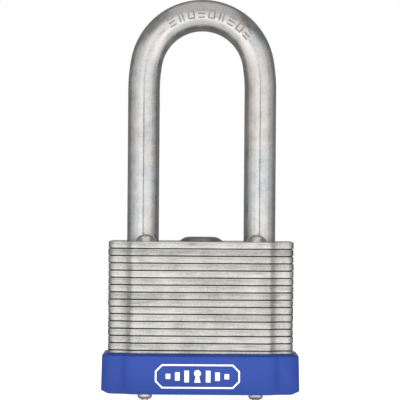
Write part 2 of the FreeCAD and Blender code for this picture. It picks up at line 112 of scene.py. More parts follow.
def platedSheetSteel(settings):
    # zinc-plated sheet steel, sheared and tumbled: satin, with fine scratches along the cut edge
    material, tree, shader = newMaterial("platedSheetSteel")
    place = addNode(tree, "ShaderNodeTexCoord").outputs["Object"]
    brushScale = (1 / (settings["brushLength"] * mm), 1 / (settings["brushLength"] * mm),
                  1 / (settings["brushWidth"] * mm))
    stretched = addNode(tree, "ShaderNodeMapping", {"Scale": brushScale}, {"Vector": place})
    brush = addNode(tree, "ShaderNodeTexNoise", {"Scale": 1.0, "Detail": 3.0, "Roughness": 0.6},
                    {"Vector": stretched.outputs[0]})
    blotch = addNode(tree, "ShaderNodeTexNoise",
                     {"Scale": 1 / (settings["blotch"] * mm), "Detail": 4.0, "Roughness": 0.65},
                     {"Vector": place})
    grain = addNode(tree, "ShaderNodeTexNoise", {"Scale": 1 / (0.45 * mm), "Detail": 2.0},
                    {"Vector": place})
    mixed = addNode(tree, "ShaderNodeMath", {"operation": "MULTIPLY_ADD", 1: 0.8},
                    {0: brush.outputs[0], 2: blotch.outputs[0]})
    both = addNode(tree, "ShaderNodeMath", {"operation": "MULTIPLY_ADD", 1: 0.5},
                   {0: grain.outputs[0], 2: mixed.outputs[0]})
    height = addNode(tree, "ShaderNodeSeparateXYZ", links={"Vector": place}).outputs[2]
    layer = addNode(tree, "ShaderNodeMath", {"operation": "MULTIPLY_ADD", 1: 1 / plateThickness,
                    2: -caseFoot / plateThickness}, {0: height})
    layer = addNode(tree, "ShaderNodeMath", {"operation": "FLOOR"}, {0: layer.outputs[0]})
    sheet = addNode(tree, "ShaderNodeTexWhiteNoise", {"noise_dimensions": "1D"},
                    {"W": layer.outputs[0]})
    every = addNode(tree, "ShaderNodeMath", {"operation": "MULTIPLY_ADD", 1: settings["sheetSpread"]},
                    {0: sheet.outputs[0], 2: both.outputs[0]})
    tone = addNode(tree, "ShaderNodeMapRange",
                   {"From Min": 0.86, "From Max": 1.38 + settings["sheetSpread"]},
                   {"Value": every.outputs[0]})
    colour = addNode(tree, "ShaderNodeMix", {"data_type": "RGBA"})
    colour.inputs[6].default_value = linearColour(settings["dark"])
    colour.inputs[7].default_value = linearColour(settings["light"])
    # painted shade darkens the foot of every sheet, in the recessed gap between plates, and a painted
    # highlight lightens its upper rim
    within = addNode(tree, "ShaderNodeMath", {"operation": "MULTIPLY_ADD", 1: 1 / plateThickness,
                     2: -(caseFoot + 0.01 * mm) / plateThickness}, {0: height})
    within = addNode(tree, "ShaderNodeMath", {"operation": "FRACT"}, {0: within.outputs[0]})
    # painted highlight: a lighter band along the upper rim of every sheet
    rim = addNode(tree, "ShaderNodeValToRGB", links={"Fac": within.outputs[0]})
    rampStops(rim, [(1 - settings["rimShare"], grey(0)), (0.95, grey(settings["rimHighlight"])),
                    (0.985, grey(0))])
    lifted = addNode(tree, "ShaderNodeMath", {"operation": "ADD", "use_clamp": True},
                     {0: tone.outputs[0], 1: rim.outputs[0]})
    tree.links.new(lifted.outputs[0], colour.inputs[0])
    # painted shade: a dark band at the foot of every sheet, where the recessed gap between plates lies
    uneven = addNode(tree, "ShaderNodeMath", {"operation": "MULTIPLY_ADD", 1: settings["gapShadeWaver"]},
                     {0: blotch.outputs[0], 2: within.outputs[0]})
    reach = settings["gapShadeShare"] + settings["gapShadeWaver"] / 2
    paintedGapShade = addNode(tree, "ShaderNodeMapRange", {"From Min": reach * 0.7, "From Max": reach * 1.4,
                   "To Min": 1.0, "To Max": 0.0}, {"Value": uneven.outputs[0]})
    gapShaded = addNode(tree, "ShaderNodeMix", {"data_type": "RGBA"})
    tree.links.new(paintedGapShade.outputs[0], gapShaded.inputs[0])
    tree.links.new(colour.outputs[2], gapShaded.inputs[6])
    gapShaded.inputs[7].default_value = linearColour(settings["gap"])
    tree.links.new(gapShaded.outputs[2], shader.inputs["Base Color"])
    rough = addNode(tree, "ShaderNodeMapRange", {"From Min": 0.3, "From Max": 0.7,
                    "To Min": settings["roughness"] - 0.06, "To Max": settings["roughness"] + 0.1},
                    {"Value": blotch.outputs[0]})
    tree.links.new(rough.outputs[0], shader.inputs["Roughness"])
    bump = addNode(tree, "ShaderNodeBump", {"Strength": 0.35, "Distance": 0.03 * mm},
                   {"Height": brush.outputs[0]})
    dents = addNode(tree, "ShaderNodeBump", {"Strength": 0.4, "Distance": 0.05 * mm},
                    {"Height": grain.outputs[0], "Normal": bump.outputs[0]})
    tree.links.new(dents.outputs[0], shader.inputs["Normal"])
    shader.inputs["Metallic"].default_value = 1.0
    return material


# the line colour, with its width, depth, waver and fade, paints a dark reflection along the front and
# the back of the rod
rodSteel = {"light": "C4C4C2", "dark": "A3A29F", "warm": "C6BCB8", "cool": "B6BDC4",
            "mottle": 3.2, "roughness": 0.3, "drawLine": 0.22, "line": "55534F", "lineWidth": 0.2,
            "lineDepth": 0.75, "lineWaver": 0.15, "lineFadeFrom": 72, "lineFadeTo": 86, "tint": 9}

# the floors of stamped marks are coloured darker
stampedSteel = {"light": "A09F9C", "dark": "7C7B79", "warm": "9B948F", "cool": "94989C"}


def platedRodSteel(name, settings):
    # drawn steel rod, zinc plated: satin, cloudy, with faint warm and cool tints in the plating
    material, tree, shader = newMaterial(name)
    place = addNode(tree, "ShaderNodeTexCoord").outputs["Object"]
    mottle = addNode(tree, "ShaderNodeTexNoise",
                     {"Scale": 1 / (settings["mottle"] * mm), "Detail": 5.0, "Roughness": 0.6},
                     {"Vector": place})
    speck = addNode(tree, "ShaderNodeTexNoise",
                    {"Scale": 1 / (0.6 * mm), "Detail": 3.0, "Roughness": 0.7}, {"Vector": place})
    both = addNode(tree, "ShaderNodeMath", {"operation": "MULTIPLY_ADD", 1: 0.6},
                   {0: speck.outputs[0], 2: mottle.outputs[0]})
    tone = addNode(tree, "ShaderNodeValToRGB", links={"Fac": both.outputs[0]})
    rampStops(tone, [(0.6, linearColour(settings["dark"])), (0.96, linearColour(settings["light"]))])
    tint = addNode(tree, "ShaderNodeTexNoise", {"Scale": 1 / (settings["tint"] * mm), "Detail": 2.0},
                   {"Vector": place})
    hue = addNode(tree, "ShaderNodeValToRGB", links={"Fac": tint.outputs[0]})
    rampStops(hue, [(0.38, linearColour(settings["warm"])), (0.5, linearColour(settings["light"])),
                    (0.62, linearColour(settings["cool"]))])
    colour = addNode(tree, "ShaderNodeMix", {"data_type": "RGBA", "blend_type": "MIX"})
    colour.inputs[0].default_value = 0.35
    tree.links.new(tone.outputs[0], colour.inputs[6])
    tree.links.new(hue.outputs[0], colour.inputs[7])
    along = addNode(tree, "ShaderNodeUVMap", {"uv_map": "rod"}).outputs[0]
    lines = addNode(tree, "ShaderNodeMapping",
                    {"Scale": (1 / (settings["drawLine"] * mm), 1 / (12 * mm), 1.0)},
                    {"Vector": along})
    drawn = addNode(tree, "ShaderNodeTexNoise", {"Scale": 1.0, "Detail": 2.0},
                    {"Vector": lines.outputs[0]})
    rough = addNode(tree, "ShaderNodeMapRange", {"From Min": 0.35, "From Max": 0.65,
                    "To Min": settings["roughness"] - 0.07, "To Max": settings["roughness"] + 0.09},
                    {"Value": mottle.outputs[0]})
    tree.links.new(rough.outputs[0], shader.inputs["Roughness"])
    bump = addNode(tree, "ShaderNodeBump", {"Strength": 0.3, "Distance": 0.02 * mm},
                   {"Height": drawn.outputs[0]})
    pits = addNode(tree, "ShaderNodeBump", {"Strength": 0.4, "Distance": 0.035 * mm},
                   {"Height": speck.outputs[0], "Normal": bump.outputs[0]})
    tree.links.new(pits.outputs[0], shader.inputs["Normal"])
    # painted reflection: a dark line a hair wide along the front and the back of the rod, standing for
    # the dark gap between the lamps, fading out higher up
    apart = addNode(tree, "ShaderNodeSeparateXYZ", links={"Vector": along})
    waver = addNode(tree, "ShaderNodeMath",
                    {"operation": "MULTIPLY_ADD", 1: settings["lineWaver"] * mm},
                    {0: speck.outputs[0], 2: apart.outputs[0]})
    turn = addNode(tree, "ShaderNodeMath", {"operation": "ABSOLUTE"}, {0: waver.outputs[0]})
    offset = addNode(tree, "ShaderNodeMath", {"operation": "SUBTRACT", 1: math.pi / 2 * rodRadius},
                     {0: turn.outputs[0]})
    away = addNode(tree, "ShaderNodeMath", {"operation": "ABSOLUTE"}, {0: offset.outputs[0]})
    edge = addNode(tree, "ShaderNodeMapRange", {"From Min": 0.0, "From Max": settings["lineWidth"] * mm,
                   "To Min": settings["lineDepth"], "To Max": 0.0}, {"Value": away.outputs[0]})
    height = addNode(tree, "ShaderNodeSeparateXYZ", links={"Vector": place}).outputs[2]
    fade = addNode(tree, "ShaderNodeMapRange",
                   {"From Min": settings["lineFadeFrom"] * mm, "From Max": settings["lineFadeTo"] * mm,
                    "To Min": 1.0, "To Max": 0.0}, {"Value": height})
    line = addNode(tree, "ShaderNodeMath", {"operation": "MULTIPLY"},
                   {0: edge.outputs[0], 1: fade.outputs[0]})
    paintedReflection = addNode(tree, "ShaderNodeMix", {"data_type": "RGBA"})
    tree.links.new(line.outputs[0], paintedReflection.inputs[0])
    tree.links.new(colour.outputs[2], paintedReflection.inputs[6])
    paintedReflection.inputs[7].default_value = linearColour(settings["line"])
    tree.links.new(paintedReflection.outputs[2], shader.inputs["Base Color"])
    shader.inputs["Metallic"].default_value = 1.0
    return material


def plainSteel(name, colour, roughness, variation=0.12, grain=0.5):
    # small pressed or turned steel parts, lightly marked by handling
    material, tree, shader = newMaterial(name)
    place = addNode(tree, "ShaderNodeTexCoord").outputs["Object"]
    cloud = addNode(tree, "ShaderNodeTexNoise", {"Scale": 1 / (1.6 * mm), "Detail": 4.0},
                    {"Vector": place})
    fine = addNode(tree, "ShaderNodeTexNoise", {"Scale": 1 / (grain * mm), "Detail": 3.0},
                   {"Vector": place})
    base = linearColour(colour)
    tone = addNode(tree, "ShaderNodeValToRGB", links={"Fac": cloud.outputs[0]})
    dark = tuple(c * (1 - variation * 2) for c in base[:3]) + (1.0,)
    light = tuple(min(1.0, c * (1 + variation)) for c in base[:3]) + (1.0,)
    rampStops(tone, [(0.35, dark), (0.65, light)])
    tree.links.new(tone.outputs[0], shader.inputs["Base Color"])
    rough = addNode(tree, "ShaderNodeMapRange", {"To Min": roughness - 0.08,
                    "To Max": roughness + 0.1}, {"Value": fine.outputs[0]})
    tree.links.new(rough.outputs[0], shader.inputs["Roughness"])
    bump = addNode(tree, "ShaderNodeBump", {"Strength": 0.3, "Distance": 0.03 * mm},
                   {"Height": fine.outputs[0]})
    tree.links.new(bump.outputs[0], shader.inputs["Normal"])
    shader.inputs["Metallic"].default_value = 1.0
    return material


def turnedBrass(name, colour, roughness):
    # machined brass: fine tool rings round the cylinder's axis
    material, tree, shader = newMaterial(name)
    place = addNode(tree, "ShaderNodeTexCoord").outputs["Object"]
    rings = addNode(tree, "ShaderNodeTexWave",
                    {"wave_type": "RINGS", "rings_direction": "Z", "Scale": 1 / (3.2 * mm),
                     "Distortion": 1.5, "Detail": 2.0}, {"Vector": place})
    cloud = addNode(tree, "ShaderNodeTexNoise", {"Scale": 1 / (2.5 * mm), "Detail": 3.0},
                    {"Vector": place})
    base = linearColour(colour)
    tone = addNode(tree, "ShaderNodeValToRGB", links={"Fac": cloud.outputs[0]})
    rampStops(tone, [(0.35, tuple(c * 0.72 for c in base[:3]) + (1.0,)), (0.7, base)])
    tree.links.new(tone.outputs[0], shader.inputs["Base Color"])
    rough = addNode(tree, "ShaderNodeMapRange", {"To Min": roughness - 0.05,
                    "To Max": roughness + 0.1}, {"Value": cloud.outputs[0]})
    tree.links.new(rough.outputs[0], shader.inputs["Roughness"])
    bump = addNode(tree, "ShaderNodeBump", {"Strength": 0.25, "Distance": 0.02 * mm},
                   {"Height": rings.outputs[0]})
    tree.links.new(bump.outputs[0], shader.inputs["Normal"])
    shader.inputs["Metallic"].default_value = 1.0
    return material


vinyl = {"colour": "1F4198", "shade": "1B3C8E", "roughness": 0.46, "pebble": 0.35}


def mouldedVinyl(settings):
    # soft moulded PVC: even colour, low gloss, a very fine spark-eroded texture
    material, tree, shader = newMaterial("mouldedVinyl")
    place = addNode(tree, "ShaderNodeTexCoord").outputs["Object"]
    cloud = addNode(tree, "ShaderNodeTexNoise", {"Scale": 1 / (11 * mm), "Detail": 3.0},
                    {"Vector": place})
    tone = addNode(tree, "ShaderNodeValToRGB", links={"Fac": cloud.outputs[0]})
    rampStops(tone, [(0.3, linearColour(settings["shade"])), (0.6, linearColour(settings["colour"]))])
    tree.links.new(tone.outputs[0], shader.inputs["Base Color"])
    pebble = addNode(tree, "ShaderNodeTexNoise",
                     {"Scale": 1 / (settings["pebble"] * mm), "Detail": 2.0}, {"Vector": place})
    rough = addNode(tree, "ShaderNodeMapRange", {"To Min": settings["roughness"] - 0.05,
                    "To Max": settings["roughness"] + 0.12}, {"Value": pebble.outputs[0]})
    tree.links.new(rough.outputs[0], shader.inputs["Roughness"])
    bump = addNode(tree, "ShaderNodeBump", {"Strength": 0.2, "Distance": 0.03 * mm},
                   {"Height": pebble.outputs[0]})
    tree.links.new(bump.outputs[0], shader.inputs["Normal"])
    shader.inputs["IOR"].default_value = 1.5
    shader.inputs["Specular IOR Level"].default_value = 0.36
    return material


def printedInk():
    # white pad-printed ink, slightly glossier than the vinyl under it
    material, tree, shader = newMaterial("printedInk")
    place = addNode(tree, "ShaderNodeTexCoord").outputs["Object"]
    wear = addNode(tree, "ShaderNodeTexNoise", {"Scale": 1 / (0.8 * mm), "Detail": 3.0},
                   {"Vector": place})
    tone = addNode(tree, "ShaderNodeValToRGB", links={"Fac": wear.outputs[0]})
    rampStops(tone, [(0.25, linearColour("E4E8F2")), (0.45, linearColour("FBFBFB"))])
    tree.links.new(tone.outputs[0], shader.inputs["Base Color"])
    shader.inputs["Roughness"].default_value = 0.35
    return material


materials = {
    "plate": platedSheetSteel(sheetSteel),
    "rod": platedRodSteel("platedRodSteel", rodSteel),
    "stamped": platedRodSteel("stampedRodSteel", {**rodSteel, **stampedSteel}),
    "rivet": plainSteel("upsetRivetSteel", "D4D3CF", 0.27),
    "cap": plainSteel("darkCapSteel", "969698", 0.4, 0.1),
    "latch": plainSteel("pressedLatchSteel", "A9A9A6", 0.38),
    "wire": plainSteel("springWire", "8E8F93", 0.3, 0.08),
    "brass": turnedBrass("turnedBrass", "C9A45C", 0.3),
    "plug": turnedBrass("platedPlugFace", "BDB9AE", 0.26),
    "vinyl": mouldedVinyl(vinyl),
    "ink": printedInk(),
}
print("materials made:", len(materials))


def finishPiece(name, bm, material, body, replaced=(), smoothAngle=35):
    bmesh.ops.recalc_face_normals(bm, faces=bm.faces)
    mesh = bpy.data.meshes.new(name)
    bm.to_mesh(mesh)
    bm.free()
    piece = bpy.data.objects.new(name, mesh)
    bpy.context.scene.collection.objects.link(piece)
    mesh.materials.append(material)
    smoothBy(mesh, smoothAngle)
    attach(piece, body)
    if replaced:
        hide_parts(*replaced)
    return piece


def smoothBy(mesh, angle):
    mesh.polygons.foreach_set("use_smooth", [True] * len(mesh.polygons))
    mesh.set_sharp_from_angle(angle=math.radians(angle))


def carve(piece, cutters):
    # takes the cutters' shapes out of the piece, one after another
    for cutter in cutters:
        mesh = bpy.data.meshes.new("cutter")
        bmesh.ops.recalc_face_normals(cutter, faces=cutter.faces)
        cutter.to_mesh(mesh)
        cutter.free()
        tool = bpy.data.objects.new("cutter", mesh)
        bpy.context.scene.collection.objects.link(tool)
        modifier = piece.modifiers.new("carve", "BOOLEAN")
        modifier.object = tool
        modifier.operation = "DIFFERENCE"
        modifier.solver = "EXACT"
        bpy.context.view_layer.update()
        graph = bpy.context.evaluated_depsgraph_get()
        carved = bpy.data.meshes.new_from_object(piece.evaluated_get(graph))
        piece.modifiers.clear()
        old = piece.data
        piece.data = carved
        bpy.data.meshes.remove(old)
        bpy.data.objects.remove(tool)
        bpy.data.meshes.remove(mesh)


def addRod(bm, x, y, bottom, top, radius, segments=48):
    middle = Matrix.Translation((x, y, (bottom + top) / 2))
    bmesh.ops.create_cone(bm, cap_ends=True, segments=segments, radius1=radius, radius2=radius,
                          depth=top - bottom, matrix=middle)


def addBlock(bm, lowCorner, highCorner):
    size = Vector(highCorner) - Vector(lowCorner)
    middle = (Vector(highCorner) + Vector(lowCorner)) / 2
    bmesh.ops.create_cube(bm, size=1, matrix=Matrix.Translation(middle) @ Matrix.Diagonal((*size, 1)))


outline = {"lobeY": 11.5 * mm, "stepInset": 6.0 * mm, "corner": 2.2 * mm, "crest": 1.6 * mm,
           "valley": 3.2 * mm}


def outlineFace(bm, spread, z):
    # stepped plan outline, grown by spread: square corners first, then rounded in plan
    a, b, c = caseX + spread, caseY + spread, outline["lobeY"] + spread
    lean = spread * math.sqrt(2)
    crestX = caseX - outline["stepInset"] + caseY + lean - b
    valleyX = caseX - outline["stepInset"] + caseY + lean - c
    quarter = [("corner", a, c), ("valley", valleyX, c), ("crest", crestX, b)]
    points = []
    for sx, sy, order in ((1, 1, 1), (-1, 1, -1), (-1, -1, 1), (1, -1, -1)):
        points += [(kind, sx * x, sy * y) for kind, x, y in quarter[::order]]
    made = [(kind, bm.verts.new((x, y, z))) for kind, x, y in points]
    face = bm.faces.new([v for _, v in made])
    turn = math.tan(math.radians(22.5))
    sizes = {"corner": (outline["corner"] + spread, 8),
             "crest": ((outline["crest"] + spread) * turn, 5),
             "valley": ((outline["valley"] - spread) * turn, 5)}
    for kind, (offset, segments) in sizes.items():
        bmesh.ops.bevel(bm, geom=[v for k, v in made if k == kind], affect="VERTICES", offset=offset,
                        segments=segments, profile=0.5, material=-1)
    return max(bm.faces, key=lambda f: f.calc_area())


def extrudeFace(bm, face, rise):
    made = bmesh.ops.extrude_face_region(bm, geom=[face])["geom"]
    verts = [g for g in made if isinstance(g, bmesh.types.BMVert)]
    bmesh.ops.translate(bm, vec=(0, 0, rise), verts=verts)
    return next(g for g in made if isinstance(g, bmesh.types.BMFace))


def edgesAt(bm, z):
    return [e for e in bm.edges if all(abs(v.co.z - z) < 1e-7 for v in e.verts)]


def turned(profile, centre, rounds=(), segments=48):
    # spins a half outline of (radius, height) pairs, then rounds the rings listed in rounds
    bm = bmesh.new()
    verts = [bm.verts.new((r, 0, z)) for r, z in profile]
    edges = [bm.edges.new(pair) for pair in zip(verts, verts[1:])]
    bmesh.ops.spin(bm, geom=verts + edges, cent=(0, 0, 0), axis=(0, 0, 1), angle=math.tau,
                   steps=segments, use_merge=True)
    bmesh.ops.remove_doubles(bm, verts=bm.verts, dist=1e-7)
    bmesh.ops.recalc_face_normals(bm, faces=bm.faces)
    for index, offset, steps in rounds:
        radius, z = profile[index]
        onRing = lambda v: abs(v.co.z - z) < 1e-7 and abs(v.co.xy.length - radius) < 1e-6
        ring = [e for e in bm.edges if all(onRing(v) for v in e.verts)]
        bmesh.ops.bevel(bm, geom=ring, affect="EDGES", offset=offset, segments=steps, profile=0.5,
                        material=-1)
    bmesh.ops.translate(bm, vec=centre, verts=bm.verts)
    return bm


plateLook = {"topRoll": 0.2 * mm, "footRoll": 0.1 * mm, "crevice": 0.18 * mm,
             "creviceDepth": 0.7 * mm, "drift": 0.05 * mm, "skew": 0.1,
             "rivetHole": 1.55 * mm, "legHole": 4.1 * mm, "neckHole": 2.3 * mm, "plugHole": 6.1 * mm,
             "housingHole": 6.9 * mm, "camHole": 6.0 * mm, "capSeat": 6.6 * mm, "capHole": 5.7 * mm,
             "pinBay": (3.1 * mm, 12.1 * mm), "latchBay": (11.5 * mm, 4.55 * mm),
             "latchEnds": (12.6 * mm, 3.3 * mm)}
legX = (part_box("shackle_clip")[0][0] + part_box("shackle_clip")[1][0]) / 2


def makePlate(index):
    name = f"plate_{index + 1:02d}"
    bottom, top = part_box(name)[0][2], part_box(name)[1][2]
    bm = bmesh.new()
    crevice = plateLook["crevice"]
    face = outlineFace(bm, 0.0, bottom + crevice)
    extrudeFace(bm, face, top - bottom - crevice)
    foot = min(bm.faces, key=lambda f: f.calc_center_median().z)
    bmesh.ops.inset_region(bm, faces=[foot], thickness=plateLook["creviceDepth"], use_even_offset=True)
    extrudeFace(bm, foot, -crevice)
    # the face that was extruded stays behind as an inner wall, so it goes
    bmesh.ops.delete(bm, geom=[foot], context="FACES")
    for z, roll in ((top, plateLook["topRoll"]), (bottom + crevice, plateLook["footRoll"])):
        rim = edgesAt(bm, z)
        if z < top:
            rim = [e for e in rim if any(abs(f.normal.z) < 0.1 for f in e.link_faces) and e.is_convex]
        bmesh.ops.bevel(bm, geom=rim, affect="EDGES", offset=roll, segments=3,
                        profile=0.5, material=-1, clamp_overlap=True)
    drift = Vector((random.uniform(-1, 1), random.uniform(-1, 1), 0)) * plateLook["drift"]
    turn = Matrix.Rotation(math.radians(random.uniform(-1, 1) * plateLook["skew"]), 4, "Z")
    bmesh.ops.transform(bm, matrix=Matrix.Translation(drift) @ turn, verts=bm.verts)
    piece = finishPiece(f"pressedPlate{index + 1:02d}", bm, materials["plate"], "case", (name,))
    below, above = bottom - mm, top + mm
    holes = bmesh.new()
    for x in (-rivetX, rivetX):
        for y in (-rivetY, rivetY):
            addRod(holes, x, y, below, above, plateLook["rivetHole"], 32)
    if index >= 1:
        addRod(holes, legX, 0, below, above, plateLook["neckHole" if index == 12 else "legHole"], 64)
    if index >= 13:
        addRod(holes, -legX, 0, below, above, plateLook["legHole"], 64)
    core = bmesh.new()
    if index <= 14:
        hole = {0: "plugHole", 13: "camHole", 14: "camHole"}.get(index, "housingHole")
        addRod(core, 0, 0, below, above, plateLook[hole], 64)
    elif index <= 17:
        x, y = plateLook["latchBay"]
        addBlock(core, (-x, -y, below), (x, y, above))
    else:
        addRod(core, 0, 0, below, above, plateLook["capSeat" if index == 18 else "capHole"], 64)
    cutters = [holes, core]
    if 1 <= index <= 12:
        bay = bmesh.new()
        x, y = plateLook["pinBay"]
        addBlock(bay, (-x, 0, below), (x, y, above))
        cutters.append(bay)
    elif 15 <= index <= 17:
        bay = bmesh.new()
        x, y = plateLook["latchEnds"]
        addBlock(bay, (-x, -y, below), (x, y, above))
        cutters.append(bay)
    carve(piece, cutters)
    smoothBy(piece.data, 35)


for index in range(20):
    makePlate(index)
print("plates made")


bumperLook = {"wall": 1.7 * mm, "draft": 0.25 * mm, "topBevel": (1.5 * mm, 0.68 * mm),
              "footBevel": (1.6 * mm, 0.78 * mm), "soften": 0.16 * mm, "gap": 0.1 * mm,
              "plugHole": 6.5 * mm, "rivetHole": 1.95 * mm}


def makeBumper():
    bottom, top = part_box("bumper")[0][2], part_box("bumper")[1][2]
    bm = bmesh.new()
    face = outlineFace(bm, bumperLook["wall"], bottom + bumperLook["footBevel"][1])
    rise = top - bottom - bumperLook["footBevel"][1] - bumperLook["topBevel"][1]
    extrudeFace(bm, face, rise)
    for v in bm.verts:
        share = (v.co.z - bottom) / (top - bottom)
        v.co.x *= 1 - share * bumperLook["draft"] / (caseX + bumperLook["wall"])
    bmesh.ops.recalc_face_normals(bm, faces=bm.faces)
    ends = sorted((f for f in bm.faces if abs(f.normal.z) > 0.99),
                  key=lambda f: f.calc_center_median().z)
    for end, (width, depth) in zip(ends, (bumperLook["footBevel"], bumperLook["topBevel"])):
        sign = 1 if end.normal.z > 0 else -1
        bmesh.ops.inset_region(bm, faces=[end], thickness=width, depth=0, use_even_offset=True)
        bmesh.ops.translate(bm, vec=(0, 0, sign * depth), verts=end.verts)
    ridges = [e for e in bm.edges if len(e.link_faces) == 2
              and math.degrees(e.calc_face_angle(0)) > 28
              and abs((e.verts[0].co - e.verts[1].co).z) < 1e-6]
    bmesh.ops.bevel(bm, geom=ridges, affect="EDGES", offset=bumperLook["soften"], segments=3,
                    profile=0.5, material=-1)
    piece = finishPiece("mouldedBumper", bm, materials["vinyl"], "case", ("bumper",))
    well = bmesh.new()
    extrudeFace(well, outlineFace(well, bumperLook["gap"], caseFoot), top - caseFoot + mm)
    holes = bmesh.new()
    addRod(holes, 0, 0, bottom - mm, caseFoot + mm, bumperLook["plugHole"], 64)
    for x in (-rivetX, rivetX):
        for y in (-rivetY, rivetY):
            addRod(holes, x, y, bottom - mm, caseFoot + mm, bumperLook["rivetHole"], 32)
    carve(piece, [well, holes])
    smoothBy(piece.data, 35)


makeBumper()

emblem = {"width": 21.0 * mm, "height": 6.0 * mm, "cut": 1.7 * mm, "stroke": 0.42 * mm,
          "x": -0.7 * mm, "z": 6.65 * mm, "ink": 0.05 * mm, "bar": 1.15 * mm, "barHeight": 2.9 * mm,
          "pitch": 2.3 * mm, "barStep": (1.0, 0.72, 0.44), "middleGap": 0.7 * mm, "shift": 0.35 * mm,
          "signRadius": 0.85, "signRise": 0.75, "signFoot": 0.8, "signDrop": 1.5}


def makeEmblem():
    # plain frame with clipped corners, a keyhole sign and bars
    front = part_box("bumper")[0][1]
    bm = bmesh.new()
    w, h = emblem["width"] / 2, emblem["height"] / 2
    corners = [bm.verts.new((x, 0, z)) for x, z in ((-w, -h), (w, -h), (w, h), (-w, h))]
    panel = bm.faces.new(corners)
    bmesh.ops.bevel(bm, geom=corners, affect="VERTICES", offset=emblem["cut"], segments=1,
                    profile=0.5, material=-1)
    panel = next(iter(bm.faces))
    bmesh.ops.inset_region(bm, faces=[panel], thickness=emblem["stroke"], use_even_offset=True,
                           use_boundary=True)
    bmesh.ops.delete(bm, geom=[panel], context="FACES")
    flat = Matrix.Rotation(math.radians(90), 4, "X")
    for side in (-1, 1):
        for step in (1, 2, 3):
            x = side * (emblem["middleGap"] + step * emblem["pitch"]) - side * emblem["shift"]
            tall = emblem["barHeight"] * emblem["barStep"][step - 1]
            grid = Matrix.Translation((x, 0, 0)) @ flat @ Matrix.Diagonal((emblem["bar"], tall, 1, 1))
            bmesh.ops.create_grid(bm, x_segments=1, y_segments=1, size=0.5, matrix=grid)
    r, up = emblem["signRadius"], emblem["signRise"]
    bow = [math.radians(-60 + 10 * step) for step in range(31)]
    sign = [(r * math.cos(t), up + r * math.sin(t)) for t in bow]
    sign += [(-emblem["signFoot"], -emblem["signDrop"]), (emblem["signFoot"], -emblem["signDrop"])]
    bm.faces.new([bm.verts.new((x * mm, 0, z * mm)) for x, z in sign])
    made = bmesh.ops.extrude_face_region(bm, geom=bm.faces[:])["geom"]
    backs = [g for g in made if isinstance(g, bmesh.types.BMVert)]
    bmesh.ops.translate(bm, vec=(0, emblem["ink"] * 2, 0), verts=backs)
    bmesh.ops.translate(bm, vec=(emblem["x"], front - emblem["ink"], emblem["z"]), verts=bm.verts)
    finishPiece("printedEmblem", bm, materials["ink"], "case", smoothAngle=20)


makeEmblem()
print("bumper and emblem made")


rivetLook = {"headRadius": 2.65 * mm, "headHeight": 1.8 * mm, "shank": 1.5 * mm, "tail": 1.8 * mm,
             "nub": 0.8 * mm, "nubHeight": 0.6 * mm}


def makeRivet(name, x, y):
    top = caseTop + rivetLook["headHeight"]
    r, h = rivetLook["headRadius"], rivetLook["headHeight"]
    ball = (r * r + h * h) / (2 * h)
    dome = []
    for step in range(9):
        angle = math.asin(r / ball) * (1 - step / 8)
        dome.append((ball * math.sin(angle), top - ball + ball * math.cos(angle)))
    profile = [(0, 0), (rivetLook["nub"], 0), (rivetLook["nub"], rivetLook["nubHeight"]),
               (rivetLook["tail"], rivetLook["nubHeight"]), (rivetLook["tail"], caseFoot),
               (rivetLook["shank"], caseFoot), (rivetLook["shank"], caseTop),
               (r, caseTop)] + dome[1:]
    profile[-1] = (0, top)
    bm = turned(profile, (x, y, 0), [(1, 0.25 * mm, 3), (3, 0.7 * mm, 5)], 40)
    finishPiece("upset" + name.title().replace("_", ""), bm, materials["rivet"], "case", (name,),
                50)


for face, y in (("front", -rivetY), ("back", rivetY)):
    for side, x in (("left", -rivetX), ("right", rivetX)):
        makeRivet(f"rivet_{face}_{side}", x, y)

capLook = {"flange": 6.5 * mm, "base": 5.6 * mm, "crown": 4.0 * mm}


def makeCap():
    low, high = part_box("top_cap")
    step = caseTop - plateThickness - 0.1 * mm
    profile = [(0, low[2]), (capLook["flange"], low[2]), (capLook["flange"], step),
               (capLook["base"], step), (capLook["base"], caseTop),
               (capLook["crown"], high[2]), (0, high[2])]
    bm = turned(profile, (0, 0, 0), [(5, 0.7 * mm, 5), (4, 0.12 * mm, 2)], 64)
    finishPiece("domedCap", bm, materials["cap"], "case", ("top_cap",), 40)


makeCap()
print("rivets and cap made")


shackleLook = {"radius": rodRadius, "neck": 2.2 * mm, "groove": 1.6 * mm, "archExtra": 4.1 * mm,
               "tightness": 0.4 * mm, "toeLip": 2.5 * mm, "sides": 64, "markDepth": 0.4 * mm,
               "darkFloorDepth": 0.1 * mm, "notchDepth": 1.8 * mm, "notchWidth": 5 * mm}

# plain marks stamped round the arch: each stroke's place across and up, width and height, in mm
stamps = {"bars": [(0, -0.95, 1.7, 0.4), (0, 0, 1.7, 0.4), (0, 0.95, 1.7, 0.4)],
          "frame": [(0, -0.95, 1.8, 0.4), (0, 0.95, 1.8, 0.4),
                    (-0.7, 0, 0.4, 1.44), (0.7, 0, 0.4, 1.44)],
          "pair": [(-0.45, 0, 0.4, 2.3), (0.45, 0, 0.4, 2.3)],
          "row": ("bars", "pair", "frame", "bars", "frame", "pair", "bars", "frame", "bars"),
          "start": 122, "turn": 10.3, "outward": 0.3 * mm}


